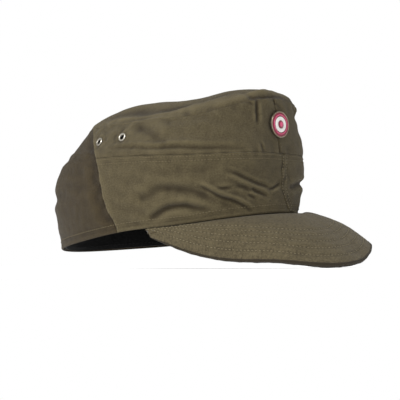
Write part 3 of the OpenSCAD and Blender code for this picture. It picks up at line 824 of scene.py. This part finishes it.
def metal(name, colour, dark, roughness=0.3):
    """Plated metal with fine scratches and tarnished, less shiny patches."""
    n = Nodes(name)
    place = n.add("TexCoord").outputs["Object"]
    tarnish = n.ramp(n.noise(place, 900, 4.0, 0.6), 0.4, 0.75)
    scratch = n.noise(n.add("Mapping", {0: place, "Scale": (900, 5200, 2600)}).outputs[0], 1.0, 3.0)
    n.bump(n.math("ADD", scratch, tarnish), 0.00003, 0.6)
    n.set(Base_Color=n.mix(tarnish, srgb(*colour), srgb(*dark)), Metallic=1.0,
          Roughness=n.ramp(tarnish, 0, 1, roughness, roughness + 0.3))
    return n.material


def enamel(name, colour, dark):
    """Hard enamel, slightly uneven, under a clear coat."""
    n = Nodes(name)
    place = n.add("TexCoord").outputs["Object"]
    cloudy = n.ramp(n.noise(place, 600, 3.0), 0.35, 0.7)
    n.bump(n.noise(place, 420, 2.0), 0.00008, 0.5)
    n.set(Base_Color=n.mix(n.math("MULTIPLY", cloudy, 0.5), srgb(*colour), srgb(*dark)),
          Roughness=n.ramp(cloudy, 0, 1, 0.28, 0.42), Coat_Weight=0.4, Coat_Roughness=0.12)
    return n.material


OLIVE, OLIVE_DARK, OLIVE_LIGHT = (84, 75, 53), (54, 46, 32), (107, 97, 71)
outer_cloth = twill("olive_twill", OLIVE, OLIVE_DARK, OLIVE_LIGHT)
# painted shade: a darker copy of the olive twill, for the back panel and the visor's underside, which
# face away from the light
olive_cloth_painted_shade = twill("olive_twill_painted_shade", (60, 50, 32), (39, 31, 19), (78, 67, 45))
visor_twill = twill("olive_twill_visor", (87, 78, 57), (48, 41, 29), (114, 104, 79), rib=0.9,
                    speckle=0.75, grain=620)
thread = twill("olive_twill_thread", (124, 112, 84), (96, 86, 63), (144, 132, 102), rib=0.35)
visor_thread = twill("olive_twill_visor_thread", (142, 131, 101), (110, 100, 75), (164, 153, 123),
                     rib=0.35)
# painted shade: the binding is a darker olive that stands for the shadow along the visor's lower edge
binding_painted_shade = twill("dark_binding", (48, 41, 29), (31, 26, 18), (64, 56, 41), speckle=0.4)
lining_cloth = twill("black_lining", (19, 19, 20), (11, 11, 12), (34, 34, 36), rib=0.4, sheen=0.05)
band_cloth = twill("black_sweatband", (15, 15, 15), (9, 9, 9), (30, 30, 31), rib=0.8, sheen=0.08)
black_thread = twill("black_sweatband_thread", (34, 34, 35), (20, 20, 20), (52, 52, 54), rib=0.35)
canvas = twill("buckram", (205, 198, 178), (168, 160, 140), (226, 220, 204), rib=1.2)
board = twill("visor_board", (92, 88, 80), (66, 62, 56), (118, 113, 103), rib=2.4, depth=0.0002)
nickel = metal("aged_metal", (205, 200, 188), (120, 112, 98), 0.26)
# painted shade: a dark copy of the eyelets' metal for their barrels, which sit in the shade inside
# the holes
metal_painted_shade = metal("aged_metal_painted_shade", (62, 60, 56), (28, 27, 25), 0.55)
bright = metal("bright_metal", (190, 176, 156), (112, 98, 80), 0.3)
red = enamel("red_enamel", (138, 22, 54), (84, 12, 32))
# painted highlight: a light pink copy of the red enamel, for the raised line in the red ring and the
# centre's tip, where the red catches the light
painted_highlight_enamel = enamel("red_enamel_painted_highlight", (222, 88, 130), (176, 44, 88))
white = enamel("white_enamel", (246, 244, 240), (220, 214, 208))


def finish(piece, material, *nodes):
    """Gives a piece its material, whose name starts with its slot's, hangs it on the root body and
    hides the imported parts that it stands for.
    """
    piece.data.materials.clear()
    piece.data.materials.append(material)
    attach(piece, "root")
    if nodes:
        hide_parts(*nodes)


# ---- The outer cloth ----
LEVEL_GAP, SEAM_ANGLE = 0.003, 0.06


def vent_places(side):
    return [placed(side * bearing, level, 0, tilt=VENT_TILT) for bearing, level in VENTS]


def cut_vents(piece, side, radius=2.2):
    """Cuts the eyelet holes through a closed sheet."""
    outline = [(0, -9), (radius, -9), (radius, 9), (0, 9)]
    cutter = turned("cutter", outline, vent_places(side), 40)
    cut = piece.modifiers.new("holes", "BOOLEAN")
    cut.object, cut.solver = cutter, "MANIFOLD"
    bpy.context.view_layer.update()
    solid = piece.evaluated_get(bpy.context.evaluated_depsgraph_get())
    mesh = bpy.data.meshes.new_from_object(solid)
    piece.modifiers.clear()
    piece.data = mesh
    bpy.data.objects.remove(cutter)


def panel_edges(side, front):
    """The front and back edges of a side panel, in order of bearing."""
    if side > 0:
        return (lambda level: front(level) + SEAM_ANGLE, lambda level: back_seam(level) - SEAM_ANGLE)
    return (lambda level: SEAM_ANGLE - back_seam(level), lambda level: front(level) - SEAM_ANGLE)


def crown_and_band():
    for side, word in ((1, "right"), (-1, "left")):
        crown = side_sheet(f"crown_side_{word}_cloth", MID_LEVEL + LEVEL_GAP,
                           TOP_LEVEL, *panel_edges(side, front_seam))
        cut_vents(crown, side)
        finish(crown, outer_cloth, f"crown_side_{word}")
        band = side_sheet(f"band_{word}_cloth", 0.0, MID_LEVEL - LEVEL_GAP,
                          *panel_edges(side, upright(0)))
        finish(band, outer_cloth, f"band_{word}")
    back = side_sheet("back_panel_cloth", 0.0, TOP_LEVEL,
                      lambda level: back_seam(level) + SEAM_ANGLE,
                      lambda level: 360 - back_seam(level) - SEAM_ANGLE)
    # the back panel gets the darker olive, which is painted shade
    finish(back, olive_cloth_painted_shade, "back_panel")
    finish(dome("top_panel_cloth", 1.0), outer_cloth, "top_panel")


def strip_bearing(x, level):
    """Bearings along the front strip, whose foot is twisted to the wearer's left."""
    twist = smooth_at([7, 1, -2, -1, 0], 2 * level.ravel()).reshape(level.shape)
    return bearing_at((x + twist).ravel(), level.ravel()).reshape(level.shape)


def front_strip():
    """The strip over the band's centre front seam, pressed flat along its two sewn edges."""
    x = mix(STRIP_HALF_WIDTH, -STRIP_HALF_WIDTH, spaced(2 * STRIP_HALF_WIDTH, 0.5, 0.8))[None, :]
    level = mix(0.04, 1.95, spaced(48, 0.8))[:, None]
    x, level = np.broadcast_arrays(x, level)
    bearing = strip_bearing(x, level)
    plain, normal = side_cloth(bearing, level, 0.62)
    sewn = -0.3 * bell(np.abs(x) - STRIP_SEWN, 0.5) + 0.15 * waves(plain, 12, 4, 9, 41)
    outer = plain + (sewn + rolled(edge_gap(plain), 0.8, 0.4))[..., None] * normal
    inner = plain - 0.5 * normal
    uv = np.stack([x, from_map(map_height, bearing, level)], -1)
    # painted shade along the two sewn lines
    piece = sheet("front_seam_strip_cloth", outer, inner, uv, np.clip(3 * sewn, -1, 1))
    finish(piece, outer_cloth, "front_seam_strip")


def inside_layers():
    canvas_sheet = side_sheet("front_interlining_cloth", 0.06, 3.9, upright(-52), upright(52),
                              -CLOTH - 0.35, 0.4, 1.2, 0.1)
    finish(canvas_sheet, canvas, "front_interlining")
    for side, word in ((1, "right"), (-1, "left")):
        start, end = sorted((side * SEAM_ANGLE, side * (180 - SEAM_ANGLE)))
        lining = side_sheet(f"side_lining_{word}_cloth", 0.06, 3.98, upright(start), upright(end),
                            LINING_DEPTH, 0.5, 2.0, 0.2)
        cut_vents(lining, side, 2.4)
        finish(lining, lining_cloth, f"side_lining_{word}")
    finish(dome("top_lining_cloth", 0.985, LINING_DEPTH, 0.5, 2.2, 0.2), lining_cloth, "top_lining")
    sweatband = side_sheet("sweatband_cloth", 0.03, 0.95, upright(-180 + SEAM_ANGLE),
                           upright(180 - SEAM_ANGLE), SWEATBAND_DEPTH, SWEATBAND, 1.6, 0.3)
    finish(sweatband, band_cloth, "sweatband")


def visor():
    """The visor's cover, board and under cover, and the binding that closes their edges."""
    finish(visor_sheet("visor_top_cover_cloth", 0.0, 1.0, -0.03), visor_twill, "visor_top_cover")
    finish(visor_sheet("visor_board_core", -1.15, 1.8, 0.01, 0.99, 2.5, 0.4), board, "visor_board")
    under = visor_sheet("visor_under_cover_cloth", -3.1, 1.0, pitch=1.1, quilt=0.8)
    # the visor's underside gets the darker olive, which is painted shade
    finish(under, olive_cloth_painted_shade, "visor_under_cover")
    along = np.linspace(-VISOR_END, VISOR_END, 420)
    normal = visor_normal(along, np.full_like(along, 0.99))
    edge = visor_edge(along)
    out = unit(np.cross(normal, np.gradient(edge, axis=0)))
    out *= np.where(np.sum(out * (edge - np.array([0, VISOR_PIVOT, 0])), -1) < 0, -1, 1)[:, None]
    uneven = waves(edge, 14, 5, 14, 51)
    centre = visor_skin(along, np.ones_like(along)) - 2.05 * normal + out * 0.1
    centre[:, 2] += visor_sag(along, np.ones_like(along))
    taper = 0.4 + 0.6 * step(0, 0.05, VISOR_END - np.abs(along))
    piece = bar("visor_binding_cloth", centre, out, normal, taper * (1.2 + 0.1 * uneven),
                taper * (2.5 + 0.08 * uneven))
    # the binding gets the darker olive, which is painted shade
    finish(piece, binding_painted_shade, "visor_binding")


def sewing():
    """Every visible row of stitches, on the outer cloth, the visor and the sweatband."""
    edge = back_seam(1.95) - 1
    rows = [side_row(-180, 180, level_off(0.0, 3.4), 0.05)]
    rows += [side_row(-edge, edge, level_off(2.0, offset), 0.05) for offset in TOPSTITCH_OFFSETS]
    finish(stitches("band_topstitching", rows, 2.6, 1.8, seed=61), thread)
    rows = [upward_row(lambda level: side * (back_seam(level) - 1.7 / MM_PER_DEGREE), 0.1, 3.9, 0.04,
                       120) for side in (1, -1)]
    finish(stitches("side_seam_stitching", rows, 3.0, 1.9, seed=62), thread)
    rows = [upward_row(lambda level: strip_bearing(x, level), 0.06, 1.93, 0.55, 80)
            for x in (STRIP_SEWN, -STRIP_SEWN)]
    finish(stitches("front_strip_stitching", rows, 2.3, 1.5, seed=63), visor_thread)
    rows = [upward_row(lambda level: front_seam(level) + x / FRONT_MM_PER_DEGREE, 2.05, 3.95, 0.04,
                       60) for x in (1.9, -1.9)]
    finish(stitches("crown_front_stitching", rows, 2.8, 1.8, 0.4, 0.36, seed=64), thread)
    rows = [visor_row(k) for k in range(1, ROW_COUNT + 1)]
    finish(stitches("visor_stitching", rows, 3.0, 1.9, seed=65), visor_thread)
    bearing = np.linspace(-179, 179, 900)
    rows = []
    for level in (0.12, 0.86):
        line, normal = side_cloth(bearing, level, SWEATBAND_DEPTH - SWEATBAND)
        rows.append((line, -normal))
    finish(stitches("sweatband_stitching", rows, 3.4, 2.4, 0.6, seed=66), black_thread)


# ---- Eyelets and cockade ----
def eyelets():
    """Rolled flanges, 7.2 across, with their barrels going in through the cloth and the lining."""
    bend = np.linspace(0, math.pi, 15)
    flange = [(2.75 + 0.85 * math.cos(a), -0.1 + 0.85 * math.sin(a) ** 0.8) for a in bend]
    flange += [(1.95, -0.5), (2.15, -0.5), (2.2, -0.3), (3.4, -0.3)]
    barrel = [(1.96, -0.45), (1.96, -2.9), (2.05, -3.1), (2.2, -2.9), (2.18, -0.52)]
    places = vent_places(1) + vent_places(-1)
    finish(turned("vent_eyelet_rings", flange, places, 48), nickel, "vent_eyelets")
    # the barrels get the dark metal, which is painted shade inside the holes
    finish(turned("vent_eyelet_barrels", barrel, places, 40), metal_painted_shade)


def cockade():
    """A metal plate that holds concentric enamel rings, with its pins and the washers behind."""
    place = [placed(COCKADE_BEARING, COCKADE_LEVEL, COCKADE_STAND, COCKADE_TURN)
             @ Matrix.Rotation(math.pi / 2, 4, "Z")]
    r = COCKADE_D / 2
    white_r, centre_r, rim_r = r * 0.6, r * 0.3, r - 0.75
    floor, gap = 0.62, 0.12
    rim = ring_outline(rim_r, r, 0.6, 1.75, 0.3)[-2:0:-1]
    base = [(0, 0), (r - 0.3, 0), (r, 0.25), *rim, (rim_r, 0.6), (0, 0.6)]
    bend = np.linspace(0, math.pi / 2, 10)[1:-1]
    boss = [(0, floor), (centre_r, floor), (centre_r, 1.9)]
    boss += [(centre_r * math.cos(a) ** 0.8, 1.9 + math.sin(a)) for a in bend] + [(0, 2.9)]
    tip = [(0, 2.5), (centre_r * 0.6, 2.5), (centre_r * 0.6, 2.86), (centre_r * 0.4, 3.02), (0, 3.06)]
    red_ring = ring_outline(white_r + gap, rim_r - 0.02, floor, 1.7, 0.3, 0.2)
    line = ring_outline(white_r + 0.9, white_r + 1.75, 1.6, 2.05, 0.2, 0.1)
    white_ring = ring_outline(centre_r + gap, white_r, floor, 2.2, 0.35, 0.2)
    for name, outline, segments, material, *node in (
            ("cockade_base_plate", base, 96, bright, "cockade_base"),
            ("cockade_red_enamel", red_ring, 96, red, "cockade_red_ring"),
            # the raised line's pink enamel is painted highlight
            ("cockade_raised_line", line, 96, painted_highlight_enamel),
            ("cockade_white_enamel", white_ring, 96, white, "cockade_white_ring"),
            ("cockade_centre_boss", boss, 64, red, "cockade_centre"),
            # the centre tip's pink enamel is painted highlight
            ("cockade_centre_tip", tip, 48, painted_highlight_enamel)):
        finish(turned(name, outline, place, segments), material, *node)
    for node, material in (("cockade_prongs", bright), ("cockade_washer", bright),
                           ("eyelet_washers", nickel)):
        finish(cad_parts[node], material)


# ---- Stage ----
CAMERA_BEARING, CAMERA_RISE, CAMERA_ROLL = -56.0, -2.43, -0.32
CAMERA_DISTANCE, CAMERA_LENS = 1.5, 162.5
CAMERA_TARGET = Vector((0, 0, 0.05))
AIM_RIGHT, AIM_UP = 0.0157, -0.0118
SUN_BEARING, SUN_RISE, SUN_SOFTNESS, SUN_STRENGTH, AMBIENT = -97, 38, 34, 2.7, 0.55
FLOOR_HALF, FLOOR_GAP = 750, 0.0003
WHITE = (1, 1, 1, 1)


def direction(bearing, rise):
    """The way to something that is seen at a bearing from straight ahead and at a height."""
    a, e = math.radians(bearing), math.radians(rise)
    return Vector((math.sin(a) * math.cos(e), -math.cos(a) * math.cos(e), math.sin(e)))


def camera():
    back = direction(CAMERA_BEARING, CAMERA_RISE)
    right = (-back).cross(Vector((0, 0, 1))).normalized()
    up = right.cross(-back)
    place = CAMERA_TARGET + back * CAMERA_DISTANCE
    aim = CAMERA_TARGET + right * AIM_RIGHT + up * AIM_UP
    look = (aim - place).to_track_quat("-Z", "Y").to_matrix().to_4x4()
    lens = bpy.data.cameras.new("camera")
    lens.lens, lens.sensor_width = CAMERA_LENS, 36
    lens.clip_start, lens.clip_end = 0.05, 50
    view = bpy.data.objects.new("camera", lens)
    view.matrix_world = (Matrix.Translation(place) @ look
                         @ Matrix.Rotation(math.radians(CAMERA_ROLL), 4, "Z"))
    bpy.context.scene.collection.objects.link(view)
    bpy.context.scene.camera = view


def soft_sun():
    """An even soft light from far off."""
    lamp = bpy.data.lights.new("key", "SUN")
    lamp.energy, lamp.angle = SUN_STRENGTH, math.radians(SUN_SOFTNESS)
    light = bpy.data.objects.new("key", lamp)
    light.rotation_euler = direction(SUN_BEARING, SUN_RISE).to_track_quat("Z", "Y").to_euler()
    bpy.context.scene.collection.objects.link(light)


def pale_floor():
    """A pale floor that glows a little, so that the shadow on it stays faint."""
    corners = FLOOR_HALF * np.array([(-1, -1, 0), (1, -1, 0), (1, 1, 0), (-1, 1, 0)], float)
    floor = add_mesh("floor", corners, [(0, 1, 2, 3)])
    floor.location.z = min(corner[2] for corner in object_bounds()) - FLOOR_GAP
    pale = Nodes("pale_floor")
    place = pale.add("TexCoord").outputs["Object"]
    pale.set(Base_Color=pale.mix(pale.noise(place, 3.0), (0.6, 0.6, 0.6, 1), (0.62, 0.62, 0.62, 1)),
             Roughness=0.9, Specular_IOR_Level=0.1, Emission_Color=WHITE, Emission_Strength=0.6)
    floor.data.materials.append(pale.material)
    floor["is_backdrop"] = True


def white_world():
    """A world that looks white and lights the cap more softly than that."""
    world = bpy.data.worlds.new("studio")
    world.use_nodes = True
    tree = world.node_tree
    shown, ambient = tree.nodes["Background"], tree.nodes.new("ShaderNodeBackground")
    for background, strength in ((shown, 1.0), (ambient, AMBIENT)):
        background.inputs[0].default_value = WHITE
        background.inputs[1].default_value = strength
    path = tree.nodes.new("ShaderNodeLightPath")
    both = tree.nodes.new("ShaderNodeMixShader")
    tree.links.new(path.outputs["Is Camera Ray"], both.inputs[0])
    tree.links.new(ambient.outputs[0], both.inputs[1])
    tree.links.new(shown.outputs[0], both.inputs[2])
    tree.links.new(both.outputs[0], tree.nodes["World Output"].inputs[0])
    bpy.context.scene.world = world
    bpy.context.scene.view_settings.view_transform = "Standard"


crown_and_band()
front_strip()
inside_layers()
visor()
sewing()
eyelets()
cockade()
camera()
pale_floor()
white_world()
soft_sun()
